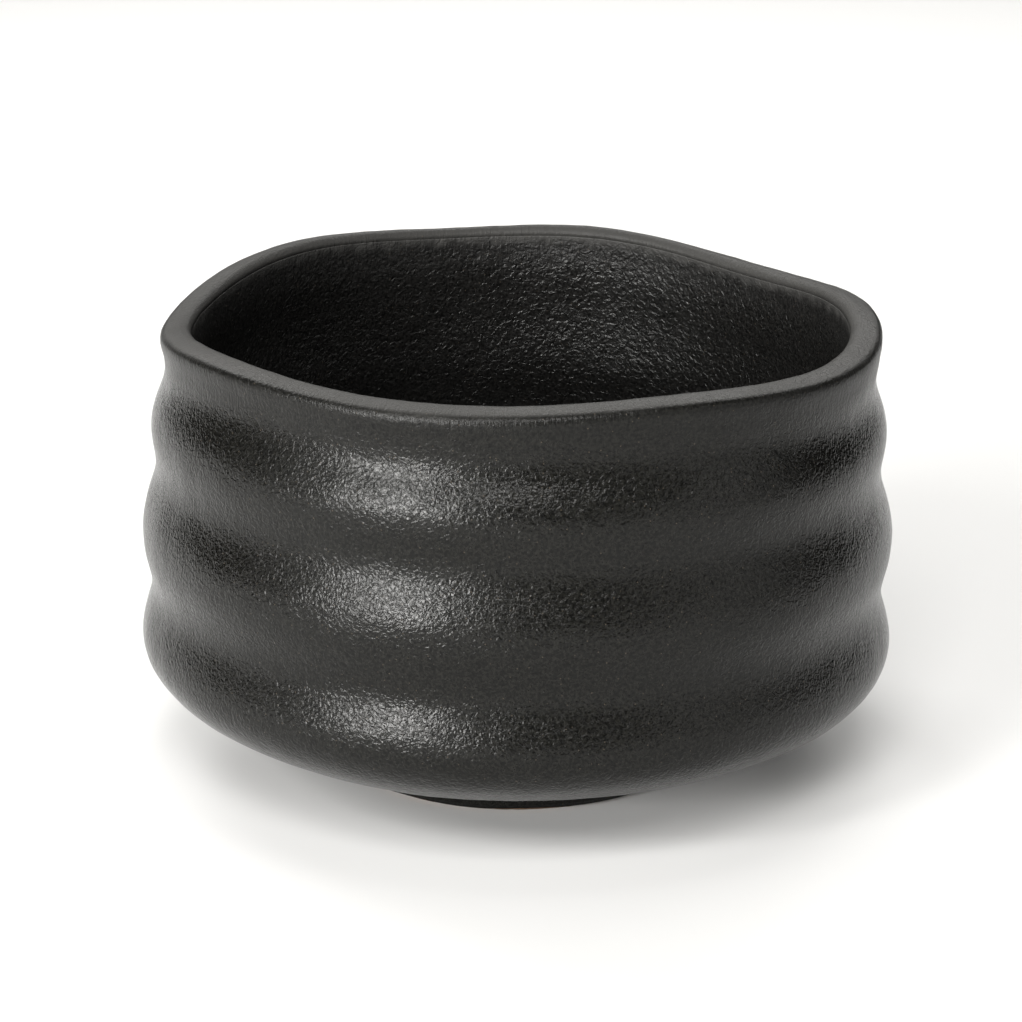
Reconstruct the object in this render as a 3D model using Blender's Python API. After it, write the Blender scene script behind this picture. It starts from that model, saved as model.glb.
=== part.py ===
"""A matcha bowl (chawan) in black-glazed stoneware, modelled in metres with +Z up.

The bowl stands on its foot ring at z = 0 with the middle of the foot on the Z axis. It is a
thrown clay body, a foot ring luted under it with slip, and three coats of glaze: one dipped
over the outside and the rim, one poured inside, and one inside the foot. Every piece is an
outline in the plane of one bearing, carried round the axis. The outline changes with the
bearing, because the rim rises and falls and the wall is not quite round.
"""

import math

import bpy
import numpy as np

MM = 0.001

# Driving dimensions, in millimetres.
RIM_HEIGHT = 73.0
BELLY_RADIUS = 60.2
BELLY_HEIGHT = 24.3
BELLY_DEPTH = 19.7
FOOT_RADIUS = 30.0
FOOT_HEIGHT = 6.3
GLAZE = 0.6
GAP = 0.3

# The belly's curve: (radius / BELLY_RADIUS) ** BELLY_ROUND + (drop / BELLY_DEPTH) ** BELLY_DROP = 1.
BELLY_ROUND = 2.1
BELLY_DROP = 2.9

# Above the belly the wall draws in by TAPER at TAPER_SPAN up, as a power of the height.
TAPER_SPAN = 50.0
TAPER = 4.6
TAPER_POWER = 1.8

# Three throwing grooves, which leave three swells between them: height, depth and width, then
# how far the groove climbs on one side of the bowl, and the bearing of that side.
GROOVES = ((30.0, 1.95, 5.6, 0.6, 80.0), (49.0, 1.7, 5.5, 0.9, 88.0), (64.6, 1.5, 4.8, 1.1, 180.0))
NECK = GROOVES[-1]

# Waves round the bowl: crests in a turn, height of a crest, bearing of a crest in degrees.
RIM_WAVES = (
    (1, 1.75, 93.5),
    (2, 0.74, 102.0),
    (3, 0.55, -3.0),
    (4, 0.26, 32.0),
    (5, 0.64, 0.0),
    (6, 0.18, 13.0),
)
PLAN_WAVES = ((2, 0.94, 127.5), (3, 0.34, -41.0), (4, 0.35, -8.0))
PLAN_FADE = (6.0, 9.0)
RIM_FADE = (50.0, 70.0)
LEAN = 0.82 / 60.0
LEAN_FROM = 19.0

# The lip: a tight outer corner, a nearly flat top that rises inwards, and an inner corner. The
# wall flares a little just under it.
LIP_CORNER = 1.1
LIP_SLOPE = 0.5
LIP_INNER = 1.3
LIP_INNER_DROP = 1.6
LIP_FLARE = 0.3
FLARE_SPAN = (68.6, 71.2)

# The hollow.
WALL_AT_RIM = 4.7
WALL_AT_BELLY = 5.2
HOLLOW_TURN = 28.0
FLOOR_HEIGHT = 11.2
HOLLOW_ROUND = 2.8
GROOVE_SHARE_INSIDE = 0.3

# The foot ring and what lies inside it.
FOOT_FILLET = 1.2
FOOT_DRAFT = 0.3
FOOT_CHAMFER = 0.5
FOOT_INNER_RADIUS = 23.0
BARE_EDGE = 0.6
SEAT_HEIGHT = 6.0
SLIP_THICKNESS = 0.55
SLIP_INSET = 0.4

# How finely each piece is cut: steps round the bowl, and steps along the outline.
BEARINGS = 52
FILLET_STEPS = 4
BELLY_STEPS = 8
WALL_STEPS = 18
CORNER_STEPS = 3
TOP_STEPS = 3
HOLLOW_SIDE_STEPS = 12
HOLLOW_STEPS = 7

BEARING = np.linspace(0.0, 2.0 * math.pi, BEARINGS, endpoint=False)


def smooth_step(value, start, end):
    """0 below start, 1 above end, and a smooth S between them."""
    share = np.clip((value - start) / (end - start), 0.0, 1.0)
    return share * share * (3.0 - 2.0 * share)


def waves(rows):
    """The sum of the waves at every bearing, in millimetres."""
    total = np.zeros(BEARINGS)
    for crests, height, crest_bearing in rows:
        total += height * np.cos(crests * (BEARING - math.radians(crest_bearing)))
    return total


def column(values):
    return np.asarray(values, dtype=float)[:, None]


def round_row(radius, height):
    """One row of an outline that is the same at every bearing."""
    return np.full((1, BEARINGS), float(radius)), np.full((1, BEARINGS), float(height))


def stack(*rows):
    """Joins (radius, height) rows into one outline."""
    return np.vstack([row[0] for row in rows]), np.vstack([row[1] for row in rows])


def groove_depth(height, lifted):
    """How far the three grooves cut in at a nominal height; the neck groove follows the rim."""
    total = np.zeros(np.broadcast(height, BEARING).shape)
    for groove in GROOVES:
        middle, depth, width, climb, high_side = groove
        at = lifted - waves(RIM_WAVES) if groove is NECK else height
        offset = (at - middle - waves(((1, climb, high_side),))) / width
        total += depth * np.exp(-(offset**2))
    return total


def wall_radius(height):
    """The wall without its grooves, above the belly."""
    up = np.maximum(height - BELLY_HEIGHT, 0.0) / TAPER_SPAN
    return BELLY_RADIUS - TAPER * up**TAPER_POWER


def lift(height):
    """The height of a row of the wall, lifted by the rim's waves towards the top."""
    return height + smooth_step(height, *RIM_FADE) * waves(RIM_WAVES)


def belly_line():
    """From the fillet over the foot to the widest part of the belly."""
    start_radius = FOOT_RADIUS + FOOT_FILLET
    start = math.asin((start_radius / BELLY_RADIUS) ** (BELLY_ROUND / 2.0))
    turn = column(np.linspace(start, math.pi / 2.0, BELLY_STEPS + 1)[:-1])
    radius = BELLY_RADIUS * np.sin(turn) ** (2.0 / BELLY_ROUND)
    height = BELLY_HEIGHT - BELLY_DEPTH * np.cos(turn) ** (2.0 / BELLY_DROP)
    height = np.repeat(height, BEARINGS, axis=1)
    shaping = waves(PLAN_WAVES) * radius / BELLY_RADIUS - groove_depth(height, height)
    return radius + shaping * smooth_step(height, *PLAN_FADE), height


def wall_line():
    """From the belly up through the grooves to the outer edge of the lip."""
    nominal = column(np.linspace(BELLY_HEIGHT, RIM_HEIGHT - LIP_SLOPE - LIP_CORNER, WALL_STEPS))
    lifted = lift(nominal)
    radius = wall_radius(nominal) - groove_depth(nominal, lifted) + waves(PLAN_WAVES)
    return radius + LIP_FLARE * smooth_step(nominal, *FLARE_SPAN), lifted


def hollow_radius(nominal):
    """The radius of the hollow above its turn into the floor."""
    share = (nominal - HOLLOW_TURN) / (RIM_HEIGHT - HOLLOW_TURN)
    wall = WALL_AT_BELLY + (WALL_AT_RIM - WALL_AT_BELLY) * share
    ripple = GROOVE_SHARE_INSIDE * groove_depth(nominal, lift(nominal))
    return wall_radius(nominal) - wall - ripple + waves(PLAN_WAVES)


def lip_line():
    """Over the lip: a quarter circle, the nearly flat top, and a quarter ellipse into the hollow."""
    edge_radius = wall_line()[0][-1]
    crest_height = RIM_HEIGHT + waves(RIM_WAVES)
    inner_radius = hollow_radius(column([RIM_HEIGHT - LIP_INNER_DROP]))[0]
    turn = column(np.linspace(0.0, math.pi / 2.0, CORNER_STEPS + 1)[1:])
    corner_radius = edge_radius - LIP_CORNER * (1.0 - np.cos(turn))
    corner_height = crest_height - LIP_SLOPE - LIP_CORNER * (1.0 - np.sin(turn))
    across = column(np.linspace(0.0, 1.0, TOP_STEPS + 1)[1:])
    top_start = edge_radius - LIP_CORNER
    top_radius = top_start + (inner_radius + LIP_INNER - top_start) * across
    top_height = crest_height - LIP_SLOPE * (1.0 - across) ** 1.5
    inward = inner_radius + LIP_INNER * (1.0 - np.sin(turn))
    downward = crest_height - LIP_INNER_DROP * (1.0 - np.cos(turn))
    return stack((corner_radius, corner_height), (top_radius, top_height), (inward, downward))


def foot_line():
    """The glazed outside of the foot and the fillet that turns it into the belly."""
    corner = FOOT_HEIGHT - FOOT_FILLET
    turn = column(np.linspace(0.0, math.pi / 2.0, FILLET_STEPS + 1)[:-1])
    radius = FOOT_RADIUS + FOOT_FILLET * (1.0 - np.cos(turn))
    height = corner + FOOT_FILLET * np.sin(turn)
    ones = np.ones((1, BEARINGS))
    return stack(round_row(FOOT_RADIUS - FOOT_DRAFT, BARE_EDGE), (radius * ones, height * ones))


def outside_line():
    """The whole of the dipped coat: up the foot, belly and wall and over the rim."""
    return stack(foot_line(), belly_line(), wall_line(), lip_line())


def hollow_line():
    """The poured coat: from just under the rim down the hollow and across the floor."""
    top = RIM_HEIGHT - LIP_INNER_DROP - GAP
    nominal = column(np.linspace(top, HOLLOW_TURN, HOLLOW_SIDE_STEPS))
    side = (hollow_radius(nominal), lift(nominal))
    turn = column(np.linspace(math.pi / 2.0, 0.0, HOLLOW_STEPS + 1)[1:])
    widest = side[0][-1]
    depth = HOLLOW_TURN - FLOOR_HEIGHT
    radius = widest * np.sin(turn) ** (2.0 / HOLLOW_ROUND)
    height = HOLLOW_TURN - depth * np.cos(turn) ** (2.0 / HOLLOW_ROUND)
    return stack(side, (radius, np.repeat(height, BEARINGS, axis=1)))


def sink(line, depth):
    """An outline moved into the clay by depth, square to itself at every point."""
    radius, height = line
    along_radius = np.gradient(radius, axis=0)
    along_height = np.gradient(height, axis=0)
    length = np.hypot(along_radius, along_height)
    return radius - depth * along_height / length, height + depth * along_radius / length


def reverse(line):
    return line[0][::-1], line[1][::-1]


def points_of(line):
    """The outline's points in metres, leaning towards +X as the wall rises."""
    radius, height = line
    lean = LEAN * np.maximum(height - LEAN_FROM, 0.0)
    across = radius * np.cos(BEARING) + lean
    along = radius * np.sin(BEARING)
    return np.stack([across, along, height], axis=-1) * MM


def make_node(name, line, material, on_axis):
    """Carries an outline round the axis.

    The outline runs with the solid on its left. With on_axis its first and last rows close to
    a point on the axis; without, its last row joins its first.
    """
    points = points_of(line)
    rows = len(points)
    verts = []
    first = []
    for row in range(rows):
        first.append(len(verts))
        if on_axis and row in (0, rows - 1):
            verts.append((0.0, 0.0, float(points[row, :, 2].mean())))
        else:
            verts.extend(map(tuple, points[row].tolist()))
    faces = []
    for row in range(rows - 1 if on_axis else rows):
        below, above = first[row], first[(row + 1) % rows]
        for step in range(BEARINGS):
            after = (step + 1) % BEARINGS
            if on_axis and row == 0:
                faces.append((below, above + after, above + step))
            elif on_axis and row == rows - 2:
                faces.append((below + step, below + after, above))
            else:
                faces.append((below + step, below + after, above + after, above + step))
    mesh = bpy.data.meshes.new(name)
    mesh.from_pydata(verts, [], faces)
    mesh.materials.append(material)
    mesh.shade_smooth()
    mesh.set_sharp_from_angle(angle=math.radians(40.0))
    node = bpy.data.objects.new(name, mesh)
    bpy.context.scene.collection.objects.link(node)
    return node


def make_material(name, colour, roughness):
    material = bpy.data.materials.new(name)
    material.use_nodes = True
    shader = material.node_tree.nodes["Principled BSDF"]
    shader.inputs["Base Color"].default_value = (*colour, 1.0)
    shader.inputs["Roughness"].default_value = roughness
    shader.inputs["Metallic"].default_value = 0.0
    return material


def make_clay_body(material):
    """The thrown body: a flat seat for the foot ring, then the sunk outside and hollow."""
    radius, height = sink(stack(outside_line(), hollow_line()), GLAZE + GAP)
    above_seat = height[:, 0] > SEAT_HEIGHT + GAP
    start = int(np.argmax(above_seat))
    seat_radius = radius[start, 0] - GAP
    seat = stack(round_row(0.0, SEAT_HEIGHT), round_row(seat_radius, SEAT_HEIGHT))
    line = stack(seat, (radius[start:], height[start:]))
    return make_node("clay_body", line, material, on_axis=True)


def make_outer_glaze(material):
    face = outside_line()
    return make_node("outer_glaze", stack(face, reverse(sink(face, GLAZE))), material, on_axis=False)


def make_inner_glaze(material):
    face = hollow_line()
    return make_node("inner_glaze", stack(reverse(sink(face, GLAZE)), face), material, on_axis=True)


def make_foot_ring(material):
    """The bare ring under the body, with a flat resting edge between two chamfers."""
    outer = FOOT_RADIUS - GLAZE - GAP
    top = SEAT_HEIGHT - 2.0 * GAP - SLIP_THICKNESS
    line = stack(
        round_row(FOOT_INNER_RADIUS + FOOT_CHAMFER, 0.0),
        round_row(outer - FOOT_DRAFT - FOOT_CHAMFER, 0.0),
        round_row(outer - FOOT_DRAFT, FOOT_CHAMFER),
        round_row(outer, top),
        round_row(FOOT_INNER_RADIUS, top),
        round_row(FOOT_INNER_RADIUS, FOOT_CHAMFER),
    )
    return make_node("foot_ring", line, material, on_axis=False)


def make_luting_slip(material):
    """The film of slip between the foot ring and the seat under the body."""
    inner = FOOT_INNER_RADIUS + SLIP_INSET
    outer = FOOT_RADIUS - GLAZE - GAP - SLIP_INSET
    top = SEAT_HEIGHT - GAP
    bottom = top - SLIP_THICKNESS
    line = stack(
        round_row(inner, bottom), round_row(outer, bottom), round_row(outer, top), round_row(inner, top)
    )
    return make_node("luting_slip", line, material, on_axis=False)


def make_foot_glaze(material):
    """The coat inside the foot: across its ceiling and down the inside of the ring."""
    back = FOOT_INNER_RADIUS - GAP
    face = back - GLAZE
    ceiling = SEAT_HEIGHT - GAP
    fillet = []
    for turn in np.linspace(0.0, math.pi / 2.0, FILLET_STEPS + 1):
        radius = face - FOOT_FILLET * (1.0 - math.sin(turn))
        height = ceiling - GLAZE - FOOT_FILLET * (1.0 - math.cos(turn))
        fillet.append(round_row(radius, height))
    line = stack(
        round_row(0.0, ceiling - GLAZE),
        *fillet,
        round_row(face, BARE_EDGE),
        round_row(back, BARE_EDGE),
        round_row(back, ceiling),
        round_row(0.0, ceiling),
    )
    return make_node("foot_glaze", line, material, on_axis=True)


def main():
    for item in list(bpy.data.objects):
        bpy.data.objects.remove(item)
    clay = make_material("bare_clay", (0.16, 0.095, 0.06), 0.85)
    slip = make_material("fired_slip", (0.12, 0.075, 0.05), 0.9)
    black_glaze = make_material("black_glaze", (0.02, 0.02, 0.021), 0.42)
    pooled_glaze = make_material("pooled_glaze", (0.012, 0.012, 0.013), 0.35)
    foot_coat = make_material("foot_coat", (0.018, 0.016, 0.015), 0.5)
    make_clay_body(clay)
    make_foot_ring(clay)
    make_luting_slip(slip)
    make_outer_glaze(black_glaze)
    make_inner_glaze(pooled_glaze)
    make_foot_glaze(foot_coat)


main()
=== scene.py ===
# %% [markdown]
# # A black matcha bowl
#
# A matcha bowl is thrown on a wheel, given a foot ring, glazed and fired. This file dresses the
# plain model of one in its real surfaces. The plain model is the frame: it says how big the bowl
# is and where each piece sits, and every piece here takes its place from it.

# %% Load the frame
import math

import bpy
import numpy as np
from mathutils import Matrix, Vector


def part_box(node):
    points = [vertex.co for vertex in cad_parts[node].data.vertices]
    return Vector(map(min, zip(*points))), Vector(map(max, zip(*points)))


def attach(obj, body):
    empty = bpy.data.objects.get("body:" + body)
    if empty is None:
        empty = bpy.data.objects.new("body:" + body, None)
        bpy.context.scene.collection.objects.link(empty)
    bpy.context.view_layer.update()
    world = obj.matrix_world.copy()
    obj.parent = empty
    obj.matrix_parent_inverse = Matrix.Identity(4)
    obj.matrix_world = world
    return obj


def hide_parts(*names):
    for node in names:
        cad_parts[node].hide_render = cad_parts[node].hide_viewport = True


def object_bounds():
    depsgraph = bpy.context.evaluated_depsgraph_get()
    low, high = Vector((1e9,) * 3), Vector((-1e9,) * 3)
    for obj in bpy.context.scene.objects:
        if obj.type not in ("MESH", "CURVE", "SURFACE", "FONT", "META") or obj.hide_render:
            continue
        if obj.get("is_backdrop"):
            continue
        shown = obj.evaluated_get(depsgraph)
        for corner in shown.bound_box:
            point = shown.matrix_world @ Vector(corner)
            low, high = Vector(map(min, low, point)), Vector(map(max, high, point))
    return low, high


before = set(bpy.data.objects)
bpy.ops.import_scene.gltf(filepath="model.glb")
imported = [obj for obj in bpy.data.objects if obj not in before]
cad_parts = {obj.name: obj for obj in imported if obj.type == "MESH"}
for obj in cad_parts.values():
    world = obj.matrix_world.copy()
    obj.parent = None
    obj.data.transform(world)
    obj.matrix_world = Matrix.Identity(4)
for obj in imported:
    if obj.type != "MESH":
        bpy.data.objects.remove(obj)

CAD_LOW, CAD_HIGH = (np.array(corner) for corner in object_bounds())
MM = 0.001
BOWL_WIDTH = float(CAD_HIGH[0] - CAD_LOW[0])
BOWL_HEIGHT = float(CAD_HIGH[2] - CAD_LOW[2])
print("frame pieces:", sorted(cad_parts), "width", round(BOWL_WIDTH, 4), "height", round(BOWL_HEIGHT, 4))

# %% [markdown]
# ## The camera
#
# A bowl is looked at from a seated person's height, a little above the rim. A long lens keeps the
# sides from bulging. The camera's distance and aim are shares of the bowl's own size, so they
# follow the frame.

# %% Camera
CAMERA_ELEVATION = math.radians(17.43)
CAMERA_LENS = 100.0
CAMERA_DISTANCE = 3.813 * BOWL_WIDTH
AIM = Vector((-0.005 * BOWL_WIDTH, 0.0, 0.5244 * BOWL_HEIGHT))

camera_data = bpy.data.cameras.new("camera")
camera_data.lens = CAMERA_LENS
camera_data.sensor_width = 36.0
camera_data.clip_start = 0.01
camera = bpy.data.objects.new("camera", camera_data)
away = Vector((0.0, -math.cos(CAMERA_ELEVATION), math.sin(CAMERA_ELEVATION)))
camera.location = AIM + CAMERA_DISTANCE * away
camera.rotation_euler = (math.pi / 2.0 - CAMERA_ELEVATION, 0.0, 0.0)
bpy.context.scene.collection.objects.link(camera)
bpy.context.scene.camera = camera
print("camera at", [round(c, 3) for c in camera.location])

# %% [markdown]
# ## The studio
#
# The bowl stands on a pale floor under soft light. Each softbox is an area light aimed at the
# middle of the bowl, placed by its bearing round the bowl and its height above the horizon. The
# three small key boxes at the left front make the highlights on the swells, broken up by the
# wrinkled glaze. The larger boxes fill the rest, and one big box behind looks straight down and
# lights the far floor.

# %% Softboxes
LAMP_COLOUR = (1.0, 0.99, 0.965)


def softbox(name, bearing, elevation, distance, width, height, power):
    """A rectangular light at a bearing (0 is +X, 270 the viewer's side) and an elevation, in degrees."""
    data = bpy.data.lights.new(name, "AREA")
    data.shape = "RECTANGLE"
    data.size = width
    data.size_y = height
    data.energy = power
    data.color = LAMP_COLOUR
    light = bpy.data.objects.new(name, data)
    turn, rise = math.radians(bearing), math.radians(elevation)
    out = Vector((math.cos(turn) * math.cos(rise), math.sin(turn) * math.cos(rise), math.sin(rise)))
    light.visible_camera = False
    light.location = AIM + distance * out
    light.rotation_euler = (-out).to_track_quat("-Z", "Y").to_euler()
    bpy.context.scene.collection.objects.link(light)
    return light


# %% Where the softboxes hang: bearing, elevation and watts
BOX_DISTANCE = 8.3 * BOWL_WIDTH
KEY_SIZE, FILL_SIZE = (0.2, 0.2), (0.42, 0.4)
SOFTBOXES = {
    "key": (
        (221.0, 10.0, 4.0), (228.0, 32.0, 3.2), (234.0, 12.0, 6.0),
    ),
    "left_front": (
        (200.0, 8.0, 0.3), (200.0, 24.0, 0.5), (250.0, 8.0, 0.5),
    ),
    "right_front": (
        (268.0, 42.0, 5.4), (315.0, 8.0, 0.6), (340.0, 8.0, 0.3), (340.0, 24.0, 0.7),
    ),
    "back": (
        (50.0, 42.0, 0.9), (75.0, 42.0, 1.4), (90.0, 89.0, 1.2), (130.0, 24.0, 0.4),
        (130.0, 42.0, 2.4),
    ),
}
for bank, boxes in SOFTBOXES.items():
    size = KEY_SIZE if bank == "key" else FILL_SIZE
    for count, (bearing, elevation, power) in enumerate(boxes):
        softbox(f"{bank}_{count + 1}", bearing, elevation, BOX_DISTANCE, *size, power)
print(sum(len(boxes) for boxes in SOFTBOXES.values()), "softboxes round the bowl")

# %% The far floor's box and the dark room
BACKDROP_DISTANCE = 14.0 * BOWL_WIDTH
BACKDROP_SIZE = (1.8, 1.0)
BACKDROP_WATTS = 12.5
backdrop = softbox("backdrop", 88.0, 35.0, BACKDROP_DISTANCE, *BACKDROP_SIZE, BACKDROP_WATTS)
backdrop.rotation_euler = (0.0, 0.0, 0.0)
world = bpy.data.worlds.new("studio")
bpy.context.scene.world = world
world.use_nodes = True
world.node_tree.nodes["Background"].inputs["Color"].default_value = (1.0, 1.0, 1.0, 1.0)
world.node_tree.nodes["Background"].inputs["Strength"].default_value = 0.0
bpy.context.scene.view_settings.view_transform = "Standard"
print("backdrop box at", [round(c, 2) for c in backdrop.location])

# %% Floor
FLOOR_SIZE = 6.0
FLOOR_DROP = 0.00005
FLOOR_WHITE = (0.93, 0.93, 0.93, 1.0)
floor_mesh = bpy.data.meshes.new("floor")
edge = FLOOR_SIZE / 2.0
floor_corners = ((-edge, -edge), (edge, -edge), (edge, edge), (-edge, edge))
floor_mesh.from_pydata([(x, y, -FLOOR_DROP) for x, y in floor_corners], [], [(0, 1, 2, 3)])
floor = bpy.data.objects.new("floor", floor_mesh)
bpy.context.scene.collection.objects.link(floor)
floor_paint = bpy.data.materials.new("floor_paint")
floor_paint.use_nodes = True
floor_shader = floor_paint.node_tree.nodes["Principled BSDF"]
floor_shader.inputs["Base Color"].default_value = FLOOR_WHITE
floor_shader.inputs["Roughness"].default_value = 0.9
floor_shader.inputs["Specular IOR Level"].default_value = 0.0
floor_mesh.materials.append(floor_paint)
floor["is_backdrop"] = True
print("floor", FLOOR_SIZE, "m across")

# %% [markdown]
# ## The form
#
# A thrown pot is a line carried round an axis, and the hand leaves slow waves in it. So the form
# is a function of two things: the bearing round the bowl and the way along the line. The line
# runs up the outside of the foot, out under the belly, up the wall through three throwing
# grooves, over the lip, and down the hollow to the middle of the floor.

# %% Sizes of the form, in millimetres
# A groove is its middle's height, its depth, its width, its tilt and the bearing of its high side.
# A wave is its crests in a turn, its height and the bearing of a crest.
RIM_HEIGHT = 73.0
BELLY_RADIUS, BELLY_HEIGHT, BELLY_DEPTH = 60.2, 24.3, 19.7
BELLY_ROUND, BELLY_DROP = 2.1, 2.9
TAPER_SPAN, TAPER, TAPER_POWER = 50.0, 4.6, 1.8
FOOT_RADIUS, FOOT_HEIGHT, FOOT_FILLET, FOOT_DRAFT = 30.0, 6.3, 1.2, 0.3
GLAZE = 0.6
GROOVES = ((30.0, 1.95, 5.6, 0.6, 80.0), (49.0, 1.7, 5.5, 0.9, 88.0), (64.6, 1.5, 4.8, 1.1, 180.0))
RIM_WAVES = (
    (1, 1.75, 93.5),
    (2, 0.74, 102.0),
    (3, 0.55, -3.0),
    (4, 0.26, 32.0),
    (5, 0.64, 0.0),
    (6, 0.18, 13.0),
)
PLAN_WAVES = ((2, 0.94, 127.5), (3, 0.34, -41.0), (4, 0.35, -8.0))
LEAN, LEAN_FROM = 0.82 / 60.0, 19.0
LIP_CORNER, LIP_SLOPE, LIP_INNER, LIP_INNER_DROP = 1.1, 0.5, 1.3, 1.6
LIP_FLARE, FLARE_FROM, FLARE_TO = 0.3, 68.6, 71.2
WALL_AT_RIM, WALL_AT_BELLY = 4.7, 5.2
HOLLOW_TURN, FLOOR_HEIGHT, HOLLOW_ROUND = 28.0, 11.2, 2.8

BEARINGS = 512
BEARING = np.linspace(0.0, 2.0 * math.pi, BEARINGS, endpoint=False)
print("wall", WALL_AT_RIM, "mm at the rim and", WALL_AT_BELLY, "mm at the belly")


# %% Waves, grooves and the wall
def smooth_step(value, start, end):
    """0 below start, 1 above end, and a smooth S between: 3 s^2 - 2 s^3."""
    share = np.clip((value - start) / (end - start), 0.0, 1.0)
    return share * share * (3.0 - 2.0 * share)


def waves(rows):
    """A sum of cosine waves round the bowl: height times cos(crests x (bearing - crest's bearing))."""
    return sum(height * np.cos(crests * (BEARING - math.radians(crest))) for crests, height, crest in rows)


def groove_depth(height, lifted):
    """Each groove cuts in by depth times e to the -(distance / width)^2; the neck groove follows the rim."""
    total = 0.0
    for middle, depth, width, tilt, high_side in GROOVES:
        at = lifted - waves(RIM_WAVES) if middle == GROOVES[-1][0] else height
        offset = at - middle - waves(((1, tilt, high_side),))
        total = total + depth * np.exp(-((offset / width) ** 2))
    return total


def lift(nominal):
    """Nominal heights, raised by the rim's waves as the wall nears the rim."""
    return nominal + smooth_step(nominal, 50.0, 70.0) * waves(RIM_WAVES)


def wall_radius(nominal):
    """The wall above the belly without grooves: it draws in by a power of the height, slowly at first."""
    up = np.maximum(nominal - BELLY_HEIGHT, 0.0) / TAPER_SPAN
    return BELLY_RADIUS - TAPER * up**TAPER_POWER


# %% The line, piece by piece
def column(start, stop, count, with_end=True):
    """Even steps from start to stop, standing upright so that they combine with every bearing."""
    return np.linspace(start, stop, count, endpoint=with_end)[:, None]


def foot_line(edge_height):
    """Up the outside of the foot from the glaze's edge, then a quarter circle out to the belly."""
    corner = FOOT_HEIGHT - FOOT_FILLET
    share = column(0.0, 1.0, 24, False)
    straight = FOOT_RADIUS - FOOT_DRAFT * (1.0 - share), edge_height + (corner - edge_height) * share
    turn = column(0.0, math.pi / 2.0, 16, False)
    ones = np.ones(BEARINGS)
    bend = FOOT_RADIUS + FOOT_FILLET * (1.0 - np.cos(turn)), corner + FOOT_FILLET * np.sin(turn)
    return [(straight[0] * ones, straight[1] * ones), (bend[0] * ones, bend[1] * ones)]


def belly_line():
    """A superellipse quarter: (r / R)^p + (drop / D)^q = 1, from the foot to the widest part."""
    start = math.asin(((FOOT_RADIUS + FOOT_FILLET) / BELLY_RADIUS) ** (BELLY_ROUND / 2.0))
    turn = column(start, math.pi / 2.0, 200, False)
    radius = BELLY_RADIUS * np.sin(turn) ** (2.0 / BELLY_ROUND)
    height = (BELLY_HEIGHT - BELLY_DEPTH * np.cos(turn) ** (2.0 / BELLY_DROP)) * np.ones(BEARINGS)
    shaping = waves(PLAN_WAVES) * radius / BELLY_RADIUS - groove_depth(height, height)
    return radius + shaping * smooth_step(height, 6.0, 9.0), height


def wall_line():
    """Up the wall: the drawn-in radius, less the grooves, plus the plan's waves and the lip's flare."""
    nominal = column(BELLY_HEIGHT, RIM_HEIGHT - LIP_SLOPE - LIP_CORNER, 300)
    lifted = lift(nominal)
    flare = LIP_FLARE * smooth_step(nominal, FLARE_FROM, FLARE_TO)
    return wall_radius(nominal) - groove_depth(nominal, lifted) + waves(PLAN_WAVES) + flare, lifted


def hollow_radius(nominal):
    """The hollow's wall: the outside without most of its grooves, less the wall's thickness."""
    share = (nominal - HOLLOW_TURN) / (RIM_HEIGHT - HOLLOW_TURN)
    wall = WALL_AT_BELLY + (WALL_AT_RIM - WALL_AT_BELLY) * share
    return wall_radius(nominal) - wall - 0.3 * groove_depth(nominal, lift(nominal)) + waves(PLAN_WAVES)


def lip_line(edge_radius):
    """Over the lip: a quarter circle, a nearly flat top rising inwards, a quarter ellipse into the hollow."""
    crest = RIM_HEIGHT + waves(RIM_WAVES)
    inner_radius = hollow_radius(np.array([[RIM_HEIGHT - LIP_INNER_DROP]]))[0]
    turn = column(0.0, math.pi / 2.0, 24)[1:]
    shoulder = crest - LIP_SLOPE - LIP_CORNER
    corner = edge_radius - LIP_CORNER * (1.0 - np.cos(turn)), shoulder + LIP_CORNER * np.sin(turn)
    across = column(0.0, 1.0, 40)[1:]
    start, end = edge_radius - LIP_CORNER, inner_radius + LIP_INNER
    top = start + (end - start) * across, crest - LIP_SLOPE * (1.0 - across) ** 1.5
    into = inner_radius + LIP_INNER * (1.0 - np.sin(turn)), crest - LIP_INNER_DROP * (1.0 - np.cos(turn))
    return [corner, top, into]


def hollow_line():
    """Down the hollow, then a superellipse quarter across to the middle of the floor."""
    nominal = column(RIM_HEIGHT - LIP_INNER_DROP, HOLLOW_TURN, 200)[1:]
    side = hollow_radius(nominal), lift(nominal)
    turn = column(math.pi / 2.0, 0.0, 300)[1:]
    radius = side[0][-1] * np.sin(turn) ** (2.0 / HOLLOW_ROUND)
    depth = HOLLOW_TURN - FLOOR_HEIGHT
    height = HOLLOW_TURN - depth * np.cos(turn) ** (2.0 / HOLLOW_ROUND)
    return [side, (radius, height * np.ones(BEARINGS))]


# %% Even rows along the line
ROW_SPACING = 0.70


def join(lines):
    """Stacks lines end to end into one grid of radii and one of heights."""
    return np.vstack([line[0] for line in lines]), np.vstack([line[1] for line in lines])


def even_rows(line):
    """Picks rows that lie the row spacing apart along the line, on average round the bowl."""
    radius, height = line
    step = np.hypot(np.diff(radius, axis=0), np.diff(height, axis=0)).mean(axis=1)
    way = np.concatenate([[0.0], np.cumsum(step)])
    wanted = np.linspace(0.0, way[-1], int(round(way[-1] / ROW_SPACING)) + 1)
    place = np.interp(wanted, way, np.arange(len(way)))
    low = np.minimum(place.astype(int), len(way) - 2)
    share = (place - low)[:, None]
    return tuple(part[low] * (1.0 - share) + part[low + 1] * share for part in (radius, height))


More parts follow.
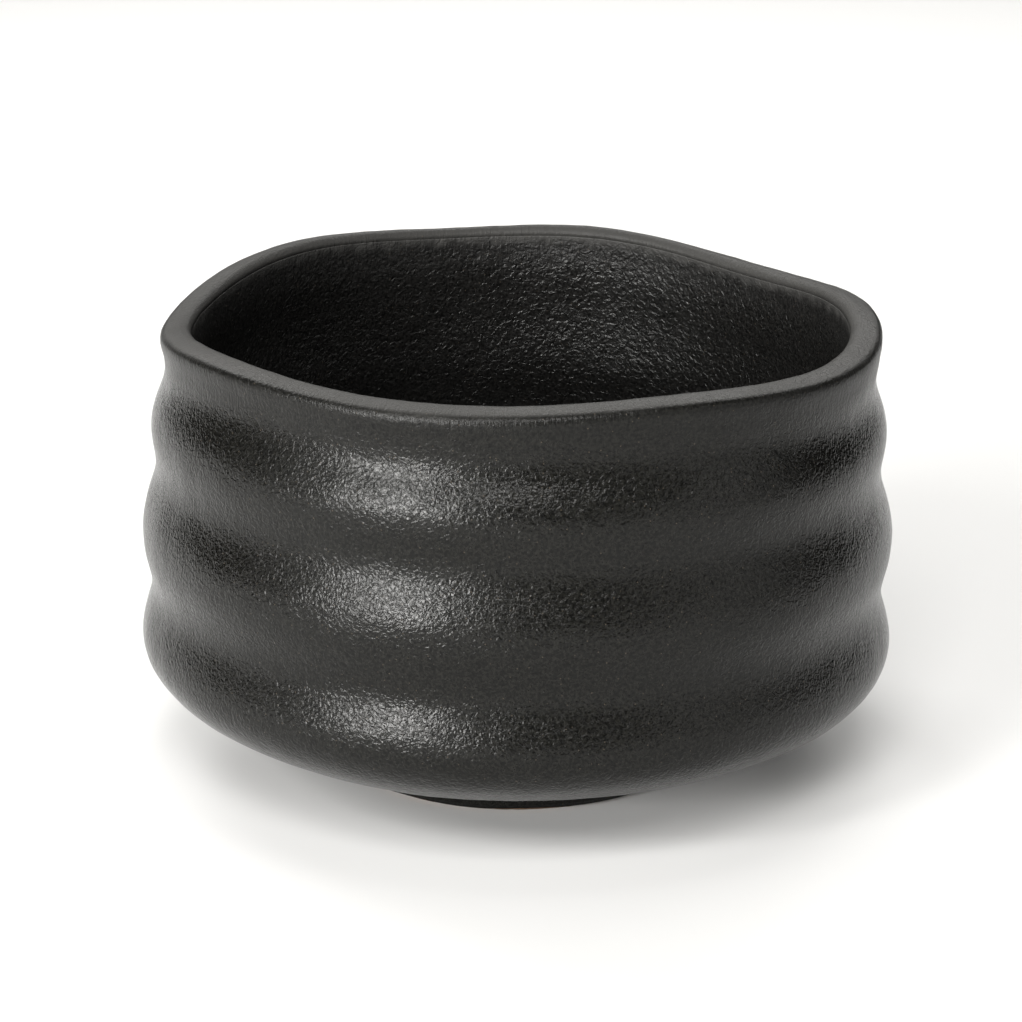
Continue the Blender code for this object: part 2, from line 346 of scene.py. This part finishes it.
def to_points(line):
    """Radius and height at each bearing as x, y, z in millimetres, with the bowl's slight lean."""
    radius, height = line
    lean = LEAN * np.maximum(height - LEAN_FROM, 0.0)
    return np.stack([radius * np.cos(BEARING) + lean, radius * np.sin(BEARING), height], axis=-1)


# %% The skin: outside, over the lip and down the hollow
GLAZE_EDGE = 0.75 + waves(((3, 0.10, 20.0), (7, 0.07, 75.0), (11, 0.05, 10.0)))
wall = wall_line()
outside = even_rows(join(foot_line(GLAZE_EDGE) + [belly_line(), wall] + lip_line(wall[0][-1])))
hollow = even_rows(join(hollow_line()))
OUTSIDE_ROWS = len(outside[0])
skin = to_points(join([outside, hollow]))
print("rows outside", OUTSIDE_ROWS, "rows in all", len(skin), "by", BEARINGS)

# %% [markdown]
# ## Relief
#
# The glaze isn't smooth. It lies in low lumps where the hand pressed, and in a leathery skin that
# shrank in the kiln. Smooth noise gives both: random slopes on the corners of a cubic lattice,
# blended with a smooth curve. The lumps a finger could feel go into the mesh; the finest grain is
# left to the material. The potter's finger also left a shallow spiral on the floor of the hollow,
# which is a cosine of the distance from the middle less the share of a turn.

# %% Smooth noise
def corner_slopes(cell, seed):
    """A repeatable random direction for each lattice corner, from a hash of its three whole numbers."""
    x, y, z = (cell[..., i].astype(np.uint64) for i in range(3))
    with np.errstate(over="ignore"):
        mixed = x * np.uint64(374761393) + y * np.uint64(668265263) + z * np.uint64(2246822519)
        mixed = mixed + np.uint64(seed * 3266489917)
        mixed = (mixed ^ (mixed >> np.uint64(13))) * np.uint64(1274126177)
        mixed = mixed ^ (mixed >> np.uint64(16))
    angle = (mixed & np.uint64(0xFFFF)).astype(float) / 65535.0 * 2.0 * math.pi
    rise = ((mixed >> np.uint64(16)) & np.uint64(0xFFFF)).astype(float) / 32767.5 - 1.0
    flat = np.sqrt(np.maximum(1.0 - rise**2, 0.0))
    return np.stack([flat * np.cos(angle), flat * np.sin(angle), rise], axis=-1)


def smooth_noise(points, size, seed):
    """Gradient noise, about -1 to 1, whose lumps are about size across, at points in the same unit."""
    place = points / size + 1000.0
    cell = np.floor(place).astype(np.int64)
    inside = place - cell
    blend = inside**3 * (inside * (inside * 6.0 - 15.0) + 10.0)
    total = 0.0
    for corner in np.ndindex(2, 2, 2):
        weight = np.prod(np.where(np.array(corner) == 1, blend, 1.0 - blend), axis=-1)
        slope = corner_slopes(cell + np.array(corner), seed)
        total = total + weight * np.sum(slope * (inside - np.array(corner)), axis=-1)
    return total * 1.6


def grid_normals(points):
    """Outward unit normals of a grid that closes round the bowl: along the bearing cross along the row."""
    along = np.roll(points, -1, axis=1) - np.roll(points, 1, axis=1)
    up = np.gradient(points, axis=0)
    normal = np.cross(along, up)
    length = np.linalg.norm(normal, axis=-1, keepdims=True)
    return normal / np.maximum(length, 1e-9)


skin_normals = grid_normals(skin)
skin_normals[-1] = (0.0, 0.0, 1.0)
print("upward at the floor:", skin_normals[-2].mean(axis=0).round(2))

# %% Lumps in the mesh
row_number = np.arange(len(skin))[:, None]
inside_share = smooth_step(row_number.astype(float), OUTSIDE_ROWS - 4.0, OUTSIDE_ROWS + 8.0)
calm_foot = np.where(row_number < OUTSIDE_ROWS, smooth_step(skin[..., 2], 0.5, 8.0), 1.0)
HAND_LUMPS, KILN_LUMPS, PEBBLES = 0.16, 0.05, 0.03
relief = (
    HAND_LUMPS * smooth_noise(skin * np.array([1.0, 1.0, 1.6]), 24.0, 1)
    + KILN_LUMPS * smooth_noise(skin, 5.5, 2)
    + PEBBLES * (1.0 + 1.2 * inside_share) * smooth_noise(skin, 2.6, 3)
)
from_middle = np.hypot(skin[..., 0], skin[..., 1])
centre_calm = np.clip(from_middle / 2.0, 0.0, 1.0)
SPIRAL_RISE, SPIRAL_STEP = 0.11, 5.5
spiral = SPIRAL_RISE * np.cos(2.0 * math.pi * (from_middle / SPIRAL_STEP - BEARING / (2.0 * math.pi)))
on_floor = inside_share * (1.0 - smooth_step(from_middle, 20.0, 34.0)) * smooth_step(from_middle, 1.0, 5.0)
relief = relief + spiral * on_floor
face = skin + skin_normals * (relief * calm_foot * centre_calm)[..., None]
print("relief spans", round(float(relief.min()), 3), "to", round(float(relief.max()), 3), "mm")


# %% [markdown]
# ## From grids to pieces
#
# Every piece is a closed skin. A coat of glaze is its lumpy face and a back, which is the smooth
# skin sunk into the wall by the coat's thickness, joined along their edges. The back needs fewer
# rows than the face, but enough of them to follow the grooves, or it would cut through the face.
# The clay lies just under both coats. The rim's glaze is thin and grey, and its grey also paints
# in a sheen of the light its top catches, so each coat stores how much of the rim's look a point
# has, and where the wiped rim's fine lines run.

# %% Grid to mesh
def piece_from_grid(name, points, start_pole=False, end_pole=False, loop=False):
    """Faces between each row and the next, round every bearing; a pole closes a row to one point."""
    rows, steps = points.shape[:2]
    number = np.arange(rows * steps).reshape(rows, steps)
    verts = points.reshape(-1, 3).copy()
    below = number if loop else number[:-1]
    above = np.roll(number, -1, axis=0) if loop else number[1:]
    quads = np.stack([below, np.roll(below, -1, 1), np.roll(above, -1, 1), above], axis=-1)
    fans = []
    if start_pole:
        quads = quads[1:]
        fans.append(np.stack([np.full(steps, 0), np.roll(number[1], -1), number[1]], axis=-1))
    if end_pole:
        quads = quads[:-1]
        last = number[-2]
        fans.append(np.stack([last, np.roll(last, -1), np.full(steps, number[-1, 0])], axis=-1))
    faces = quads.reshape(-1, 4).tolist() + [fan for block in fans for fan in block.tolist()]
    keep = np.ones(len(verts), bool)
    if start_pole:
        keep[1:steps] = False
        verts[0] = points[0].mean(axis=0)
    if end_pole:
        keep[number[-1, 1:]] = False
        verts[number[-1, 0]] = points[-1].mean(axis=0)
    new_number = np.cumsum(keep) - 1
    faces = [tuple(new_number[list(corners)].tolist()) for corners in faces]
    mesh = bpy.data.meshes.new(name)
    mesh.from_pydata((verts[keep] * MM).tolist(), [], faces)
    mesh.shade_smooth()
    piece = bpy.data.objects.new(name, mesh)
    bpy.context.scene.collection.objects.link(piece)
    return piece, keep


def add_value(piece, name, values):
    """Stores one number a vertex on a piece, for its material to read."""
    attribute = piece.data.attributes.new(name, "FLOAT", "POINT")
    attribute.data.foreach_set("value", np.asarray(values, dtype=np.float32).ravel())


def add_place(piece, name, places):
    """Stores one place a vertex on a piece, for its material to draw a pattern at."""
    attribute = piece.data.attributes.new(name, "FLOAT_VECTOR", "POINT")
    attribute.data.foreach_set("vector", np.asarray(places, dtype=np.float32).ravel())


def comb_place(points, stretch):
    """A place that moves with the bearing but hardly with the radius or the height, so that noise
    at it draws fine lines that run straight across the rim: (R cos b, R sin b, and the sum of the
    point's own radius and height over the stretch)."""
    round_rim = points[..., :2] / np.maximum(np.linalg.norm(points[..., :2], axis=-1, keepdims=True), 1e-6)
    across = np.linalg.norm(points[..., :2], axis=-1) + points[..., 2]
    return np.concatenate([round_rim * BELLY_RADIUS, (across / stretch)[..., None]], axis=-1) * MM


# %% The dipped coat
BACK_STEP = 4
coat_back_skin = skin - skin_normals * GLAZE
outer_face = face[:OUTSIDE_ROWS]
outer_back = coat_back_skin[:OUTSIDE_ROWS][::-1][::BACK_STEP]
outer_points = np.concatenate([outer_face, outer_back])
outer_glaze, _ = piece_from_grid("outer_coat", outer_points, loop=True)
crest_height = RIM_HEIGHT + waves(RIM_WAVES)
below_crest = crest_height - outer_points[..., 2]
ragged = 0.9 * smooth_noise(outer_points, 1.6, 5)
crest_row = outer_face[..., 2].argmax(axis=0)
past_crest = np.arange(len(outer_points))[:, None] > crest_row
outer_fade, inner_fade = smooth_step(below_crest, 0.5, 0.85), smooth_step(below_crest + ragged, 1.2, 3.6)
# rim_share also places the rim's grey, which is part thin glaze and part painted sheen.
rim_share = 1.0 - np.where(past_crest, inner_fade, outer_fade)
add_value(outer_glaze, "rim_share", rim_share)
comb_share = 1.0 - smooth_step(below_crest + 1.5 * smooth_noise(outer_points, 5.0, 6), 2.5, 9.0)
add_value(outer_glaze, "comb_share", comb_share)
add_place(outer_glaze, "comb_place", comb_place(outer_points, 6.0))
print("outer coat", len(outer_glaze.data.polygons), "faces")

# %% The poured coat
inner_face = face[OUTSIDE_ROWS - 1 :]
inner_back = coat_back_skin[OUTSIDE_ROWS - 1 :][::-1]
keep_back = np.unique(np.r_[0, np.arange(0, len(inner_back), BACK_STEP), len(inner_back) - 1])
inner_points = np.concatenate([inner_back[keep_back], inner_face])
inner_glaze, kept = piece_from_grid("inner_coat", inner_points, start_pole=True, end_pole=True)
below_crest = crest_height - inner_points[..., 2] + 0.9 * smooth_noise(inner_points, 1.6, 5)
# rim_share also places the rim's grey, which is part thin glaze and part painted sheen.
rim_share = 1.0 - smooth_step(below_crest, 1.2, 3.6)
add_value(inner_glaze, "rim_share", rim_share.ravel()[kept])
comb_share = 1.0 - smooth_step(below_crest, 3.0, 9.0)
add_value(inner_glaze, "comb_share", comb_share.ravel()[kept])
add_place(inner_glaze, "comb_place", comb_place(inner_points, 5.0).reshape(-1, 3)[kept])
print("inner coat", len(inner_glaze.data.polygons), "faces")

# %% The clay body
COARSE = 4
CLAY_GAP = 0.03
SEAT_HEIGHT = float(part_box("clay_body")[0][2]) / MM
SEAT_RISE, SEAT_SHARE = 0.3, 0.99
clay_skin = (skin - skin_normals * (GLAZE + CLAY_GAP))[:, ::COARSE]
clay_face = np.concatenate([clay_skin[::COARSE], clay_skin[-1:]])
rising = clay_face[:, 0, 2] > SEAT_HEIGHT + SEAT_RISE
clay_face = clay_face[int(np.argmax(rising)) :]
seat_edge = clay_face[:1] * np.array([SEAT_SHARE, SEAT_SHARE, 0.0]) + np.array([0.0, 0.0, SEAT_HEIGHT])
seat_middle = np.zeros_like(seat_edge) + np.array([0.0, 0.0, SEAT_HEIGHT])
clay_body, _ = piece_from_grid("thrown_body", np.concatenate([seat_middle, seat_edge, clay_face]), True, True)
print("clay body", len(clay_body.data.polygons), "faces")


# %% [markdown]
# ## The foot
#
# The foot ring was trimmed on the wheel and luted on with slip. It is bare clay where it touches
# the table, because glaze there would weld the bowl to the kiln shelf. A trimming tool leaves fine
# turning lines, sand drags little pits, and the edge is chipped here and there. The ring is one
# line carried round, with grit, pits and chips added square to its skin.

# %% Carry a line round the axis
def ring_points(corners, spacing, rounding, wobble=0.0):
    """A closed line through the corners with rounded corners, carried round every bearing.

    corners holds (radius, height) pairs in millimetres, the solid on the left. Each straight side is
    divided evenly, and the line is then blurred along itself, which rounds its corners.
    """
    corners = np.array(corners, dtype=float)
    following = np.roll(corners, -1, axis=0)
    runs = []
    for start, stop in zip(corners, following):
        count = max(int(np.hypot(*(stop - start)) / spacing), 2)
        runs.append(start + (stop - start) * np.linspace(0.0, 1.0, count, endpoint=False)[:, None])
    line = np.concatenate(runs)
    for _ in range(rounding):
        line = (np.roll(line, 1, axis=0) + 2.0 * line + np.roll(line, -1, axis=0)) / 4.0
    radius = line[:, :1] + wobble * waves(((2, 0.5, 30.0), (5, 0.3, 10.0), (9, 0.2, 50.0)))
    height = line[:, 1:] * np.ones(BEARINGS)
    return np.stack([radius * np.cos(BEARING), radius * np.sin(BEARING), height], axis=-1)


def loop_normals(points):
    """Outward unit normals of a grid that closes both round the bowl and along its line."""
    along = np.roll(points, -1, axis=1) - np.roll(points, 1, axis=1)
    up = np.roll(points, -1, axis=0) - np.roll(points, 1, axis=0)
    normal = np.cross(along, up)
    return normal / np.maximum(np.linalg.norm(normal, axis=-1, keepdims=True), 1e-9)


# %% The foot ring
ring_high = np.array(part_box("foot_ring")[1]) / MM
RING_OUTER = float(ring_high[0])
RING_TOP = float(ring_high[2])
RING_WIDTH = 6.0
RING_INNER = RING_OUTER - RING_WIDTH
RESTING_CHAMFER = 0.5
ring_smooth = ring_points(
    [
        (RING_INNER + RESTING_CHAMFER, 0.0),
        (RING_OUTER - FOOT_DRAFT - RESTING_CHAMFER, 0.0),
        (RING_OUTER - FOOT_DRAFT, RESTING_CHAMFER),
        (RING_OUTER, RING_TOP),
        (RING_INNER, RING_TOP),
        (RING_INNER, RESTING_CHAMFER),
    ],
    spacing=0.22,
    rounding=2,
)
ring_out = loop_normals(ring_smooth)
clear_of_table = smooth_step(ring_smooth[..., 2], 0.02, 0.5)
grit = 0.05 * smooth_noise(ring_smooth, 1.1, 11) + 0.03 * smooth_noise(ring_smooth, 0.6, 12)
low_edge = 1.0 - smooth_step(ring_smooth[..., 2], 0.4, 1.2)
chips = -0.5 * smooth_step(smooth_noise(ring_smooth, 4.0, 13), 0.62, 0.95) * low_edge
pits = -0.03 * (1.0 + smooth_noise(ring_smooth, 0.9, 14))
ring_marks = (grit + chips) * clear_of_table + pits * (1.0 - clear_of_table)
ring_face = ring_smooth + ring_out * ring_marks[..., None]
ring_face[..., 2] = np.maximum(ring_face[..., 2], 0.0)
foot_ring, _ = piece_from_grid("foot", ring_face, loop=True)
print("foot ring", len(foot_ring.data.polygons), "faces, outer radius", round(RING_OUTER, 2), "mm")

# %% The slip that lutes it on
slip_low, slip_high = (np.array(corner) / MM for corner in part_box("luting_slip"))
SLIP_OUTER, SLIP_WIDTH = float(slip_high[0]), 5.2
SLIP_BOTTOM, SLIP_TOP = float(slip_low[2]), float(slip_high[2])
slip_smooth = ring_points(
    [
        (SLIP_OUTER - SLIP_WIDTH, SLIP_BOTTOM),
        (SLIP_OUTER, SLIP_BOTTOM),
        (SLIP_OUTER, SLIP_TOP),
        (SLIP_OUTER - SLIP_WIDTH, SLIP_TOP),
    ],
    spacing=0.3,
    rounding=2,
    wobble=0.3,
)
luting_slip, _ = piece_from_grid("slip_joint", slip_smooth[:, ::COARSE], loop=True)
print("slip joint", len(luting_slip.data.polygons), "faces")

# %% [markdown]
# ## Inside the foot
#
# The potter brushes the hollow of the foot with the same glaze. It pools a little in the corner,
# shows the slow spiral of the trimming tool beneath it, and stops short of the resting edge.

# %% The coat inside the foot
coat_high = np.array(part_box("foot_glaze")[1]) / MM
COAT_BACK = float(coat_high[0])
COAT_FACE = COAT_BACK - GLAZE
COAT_TOP = float(coat_high[2])
COAT_CEILING = COAT_TOP - GLAZE
POOL = 1.5
TURNING_RISE, TURNING_PITCH = 0.09, 2.6
EVERY_OTHER = 2
middle_out = np.linspace(0.0, 1.0, 90)[:, None] * (COAT_FACE - POOL)
bend = np.linspace(0.0, math.pi / 2.0, 16)[1:, None]
down = np.linspace(0.0, 1.0, 14)[1:, None]
coat_edge = 0.9 + waves(((4, 0.12, 40.0), (9, 0.08, 15.0)))
ones = np.ones(BEARINGS)
pool_radius = (COAT_FACE - POOL * (1.0 - np.sin(bend))) * ones
coat_radius = np.vstack([middle_out * ones, pool_radius, (COAT_FACE + 0.12 * down) * ones])
coat_height = np.vstack(
    [
        COAT_CEILING * np.ones((len(middle_out), BEARINGS)),
        (COAT_CEILING - POOL * (1.0 - np.cos(bend))) * ones,
        (COAT_CEILING - POOL) + down * (coat_edge - COAT_CEILING + POOL),
    ]
)
turning = np.cos(2.0 * math.pi * (coat_radius / TURNING_PITCH - BEARING / (2.0 * math.pi)))
turning_share = smooth_step(coat_radius, 0.5, 4.0)
turning_share = turning_share - smooth_step(coat_radius, COAT_FACE - 3.0, COAT_FACE - 1.5)
coat_height = coat_height - TURNING_RISE * turning * turning_share
coat_face = np.stack([coat_radius * np.cos(BEARING), coat_radius * np.sin(BEARING), coat_height], axis=-1)
lumps = 0.04 * smooth_noise(coat_face, 3.0, 21) * np.clip(coat_radius / 2.0, 0.0, 1.0)
coat_face[..., 2] += lumps * (1.0 - smooth_step(coat_radius, COAT_FACE - 1.0, COAT_FACE))
back_radius = np.array([[COAT_BACK], [COAT_BACK], [COAT_BACK * 0.5], [0.0]]) * ones
back_height = np.vstack([coat_edge, COAT_TOP * ones, COAT_TOP * ones, COAT_TOP * ones])
coat_back = np.stack([back_radius * np.cos(BEARING), back_radius * np.sin(BEARING), back_height], axis=-1)
foot_skin = np.concatenate([coat_face, coat_back])[:, ::EVERY_OTHER]
foot_glaze, _ = piece_from_grid("foot_coat", foot_skin, True, True)
print("coat inside the foot", len(foot_glaze.data.polygons), "faces")


# %% [markdown]
# ## Materials
#
# A material is a small machine: places go in, noises turn them into numbers, and the numbers set
# the colour, the roughness and the fine relief of the shader. These helpers each add one part.

# %% Material helpers
def new_material(name):
    """A material with its node tree and its shader."""
    material = bpy.data.materials.new(name)
    material.use_nodes = True
    return material, material.node_tree, material.node_tree.nodes["Principled BSDF"]


def noise_node(tree, coordinates, size, detail=2.0, roughness=0.5, distortion=0.0):
    """Noise from 0 to 1 whose lumps are about size millimetres across."""
    node = tree.nodes.new("ShaderNodeTexNoise")
    node.inputs["Scale"].default_value = 1.0 / (size * MM)
    node.inputs["Detail"].default_value = detail
    node.inputs["Roughness"].default_value = roughness
    node.inputs["Distortion"].default_value = distortion
    tree.links.new(coordinates, node.inputs["Vector"])
    return node.outputs["Fac"]


def maths(tree, operation, first, second):
    """One sum on two numbers, each either a plain value or another node's output."""
    node = tree.nodes.new("ShaderNodeMath")
    node.operation = operation
    for socket, value in zip(node.inputs, (first, second)):
        if isinstance(value, float):
            socket.default_value = value
        else:
            tree.links.new(value, socket)
    return node.outputs["Value"]


def stored(tree, name):
    """Reads what a piece stores at each vertex under this name."""
    node = tree.nodes.new("ShaderNodeAttribute")
    node.attribute_name = name
    return node


def spread(tree, value, low, high, to_low, to_high):
    """Stretches low..high onto to_low..to_high in a straight line, and stops at both ends."""
    node = tree.nodes.new("ShaderNodeMapRange")
    for socket, number in zip(("From Min", "From Max", "To Min", "To Max"), (low, high, to_low, to_high)):
        node.inputs[socket].default_value = number
    tree.links.new(value, node.inputs["Value"])
    return node.outputs["Result"]


def mix_colour(tree, share, first, second):
    """The first colour where the share is 0, the second where it is 1, and a blend between."""
    node = tree.nodes.new("ShaderNodeMix")
    node.data_type = "RGBA"
    tree.links.new(share, node.inputs["Factor"])
    for socket, value in ((node.inputs[6], first), (node.inputs[7], second)):
        if isinstance(value, tuple):
            socket.default_value = (*value, 1.0)
        else:
            tree.links.new(value, socket)
    return node.outputs[2]


# %% [markdown]
# The black is an iron glaze fired to a satin skin. Its wrinkles are a twisted noise with a finer
# grain over it. Near the rim the glaze was wiped while wet, so fine lines cross it there and it
# is duller. Its colour is a mottled black, greyer on the rim where the glaze is thin, and that grey
# also holds a painted sheen of the light on the rim's top. A few rusty iron specks sit each at the
# middle of a cell of a scattered pattern.

# %% The glaze's relief, roughness and colour
COMB_SIZE, COMB_HEIGHT = 0.55, 0.11
GRAIN_SIZE, PATCH_SIZE, MOTTLE_SIZE = 0.3, 18.0, 0.45
SPECK_CELL, SPECKLED_CELLS, SPECK_STRENGTH = 0.9, 0.45, 0.5
RIM_DULLNESS = 0.15
# The rim's grey is its thin glaze, lightened further as a painted sheen of the light its top catches.
RIM_GREY_AND_SHEEN = (0.045, 0.044, 0.042)
SPECK = (0.12, 0.095, 0.07)


def glaze_relief(tree, where, wiped, wrinkle, grain, wrinkle_size):
    """Height in millimetres: wrinkles, calmer where wiped, plus wiped lines, plus grain."""
    leather = noise_node(tree, where, wrinkle_size, 2.0, 0.45, 0.9)
    fine = noise_node(tree, where, GRAIN_SIZE, 1.0, 0.5)
    lines = noise_node(tree, stored(tree, "comb_place").outputs["Vector"], COMB_SIZE, 2.0, 0.5, 0.8)
    comb = maths(tree, "MULTIPLY", maths(tree, "MULTIPLY", lines, COMB_HEIGHT), wiped)
    calmer = spread(tree, wiped, 0.0, 1.0, 1.0, 0.75)
    skin_height = maths(tree, "MULTIPLY", maths(tree, "MULTIPLY", leather, wrinkle), calmer)
    return maths(tree, "ADD", maths(tree, "ADD", skin_height, comb), maths(tree, "MULTIPLY", fine, grain))


def glaze_roughness(tree, where, wiped, rim, gloss):
    """The gloss, wandering in slow patches, and duller where the rim is wiped or grey."""
    even = spread(tree, noise_node(tree, where, PATCH_SIZE, 2.0), 0.3, 0.7, gloss - 0.03, gloss + 0.04)
    duller = maths(tree, "MULTIPLY", maths(tree, "ADD", wiped, rim), RIM_DULLNESS)
    return maths(tree, "ADD", even, duller)


def iron_specks(tree, where):
    """1 inside a speck and 0 outside; a speck sits in some of the cells, chosen by their colour."""
    cells = tree.nodes.new("ShaderNodeTexVoronoi")
    cells.inputs["Scale"].default_value = 1.0 / (SPECK_CELL * MM)
    tree.links.new(where, cells.inputs["Vector"])
    dot = spread(tree, cells.outputs["Distance"], 0.05, 0.13, 1.0, 0.0)
    lucky = tree.nodes.new("ShaderNodeSeparateColor")
    tree.links.new(cells.outputs["Color"], lucky.inputs["Color"])
    return maths(tree, "MULTIPLY", dot, maths(tree, "LESS_THAN", lucky.outputs["Red"], SPECKLED_CELLS))


def glaze_colour(tree, where, rim, colour):
    """The colour mottled darker and lighter, then greyed on the rim, partly thin glaze and partly painted
    sheen, then specked.
    """
    specks = iron_specks(tree, where)
    mottle = spread(tree, noise_node(tree, where, MOTTLE_SIZE, 2.0, 0.6), 0.35, 0.65, 0.0, 1.0)
    darker, lighter = (tuple(part * share for part in colour) for share in (0.3, 2.2))
    base = mix_colour(tree, mottle, darker, lighter)
    # Painted sheen: the rim's grey is partly its thin glaze and partly the light on its top, painted in.
    base = mix_colour(tree, rim, base, RIM_GREY_AND_SHEEN)
    return mix_colour(tree, maths(tree, "MULTIPLY", specks, SPECK_STRENGTH), base, SPECK)


# %% The three glazes
def bump_from(tree, height):
    """Turns a height in millimetres into a bent surface normal."""
    bump = tree.nodes.new("ShaderNodeBump")
    bump.inputs["Distance"].default_value = MM
    tree.links.new(height, bump.inputs["Height"])
    return bump.outputs["Normal"]


def glaze_material(name, colour, gloss, wrinkle, grain, wrinkle_size, specular):
    """An iron glaze: wrinkle and grain are bump heights in millimetres, gloss is the shader's roughness."""
    material, tree, shader = new_material(name)
    shader.inputs["Specular IOR Level"].default_value = specular
    where = tree.nodes.new("ShaderNodeTexCoord").outputs["Object"]
    wiped = stored(tree, "comb_share").outputs["Fac"]
    rim = stored(tree, "rim_share").outputs["Fac"]
    height = glaze_relief(tree, where, wiped, wrinkle, grain, wrinkle_size)
    tree.links.new(bump_from(tree, height), shader.inputs["Normal"])
    tree.links.new(glaze_roughness(tree, where, wiped, rim, gloss), shader.inputs["Roughness"])
    tree.links.new(glaze_colour(tree, where, rim, colour), shader.inputs["Base Color"])
    return material


black_glaze = glaze_material("black_glaze", (0.0045, 0.0044, 0.0038), 0.2, 0.16, 0.025, 0.66, 0.23)
pooled_glaze = glaze_material("pooled_glaze", (0.006, 0.0058, 0.0055), 0.33, 0.38, 0.04, 0.95, 0.4)
foot_coat = glaze_material("foot_coat", (0.0065, 0.0058, 0.005), 0.36, 0.16, 0.03, 0.9, 0.2)
print("glazes:", black_glaze.name, pooled_glaze.name, foot_coat.name)

# %% [markdown]
# Bare stoneware is a dry brown, toasted unevenly by the fire and full of sand. Its colour wanders
# between two browns, a second finer noise sets dark grains in it, and the grains stand a little
# proud as bump. The slip is the same clay sieved fine, so it has no sand.

# %% Clay
TOAST_SIZE, SAND_SIZE = 5.0, 0.5


def clay_material(name, light, dark, sand):
    """Dry clay between two browns; sand is the height of its grains in millimetres."""
    material, tree, shader = new_material(name)
    shader.inputs["Specular IOR Level"].default_value = 0.25
    shader.inputs["Roughness"].default_value = 0.85
    where = tree.nodes.new("ShaderNodeTexCoord").outputs["Object"]
    toast = spread(tree, noise_node(tree, where, TOAST_SIZE, 3.0, 0.6), 0.35, 0.65, 0.0, 1.0)
    grains = noise_node(tree, where, SAND_SIZE, 2.0, 0.6)
    base = mix_colour(tree, toast, light, dark)
    grain_colour = tuple(part * 0.35 for part in dark)
    base = mix_colour(tree, spread(tree, grains, 0.58, 0.68, 0.0, 0.8), base, grain_colour)
    tree.links.new(base, shader.inputs["Base Color"])
    tree.links.new(bump_from(tree, maths(tree, "MULTIPLY", grains, sand)), shader.inputs["Normal"])
    return material


bare_clay = clay_material("bare_clay", (0.17, 0.105, 0.065), (0.085, 0.052, 0.033), 0.16)
fired_slip = clay_material("fired_slip", (0.12, 0.078, 0.05), (0.08, 0.05, 0.033), 0.04)
for piece, material in (
    (outer_glaze, black_glaze),
    (inner_glaze, pooled_glaze),
    (clay_body, bare_clay),
    (foot_ring, bare_clay),
    (luting_slip, fired_slip),
    (foot_glaze, foot_coat),
):
    piece.data.materials.append(material)
print("clays:", bare_clay.name, fired_slip.name)

# %% [markdown]
# ## Back to the frame
#
# Each dressed piece rides the bowl's one body and takes the place of its plain piece.

# %% Join the pieces to the frame
for piece, node, finish in (
    (outer_glaze, "outer_glaze", "black_glaze"),
    (inner_glaze, "inner_glaze", "pooled_glaze"),
    (clay_body, "clay_body", "bare_clay"),
    (foot_ring, "foot_ring", "bare_clay"),
    (luting_slip, "luting_slip", "fired_slip"),
    (foot_glaze, "foot_glaze", "foot_coat"),
):
    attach(piece, "root")
    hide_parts(node)
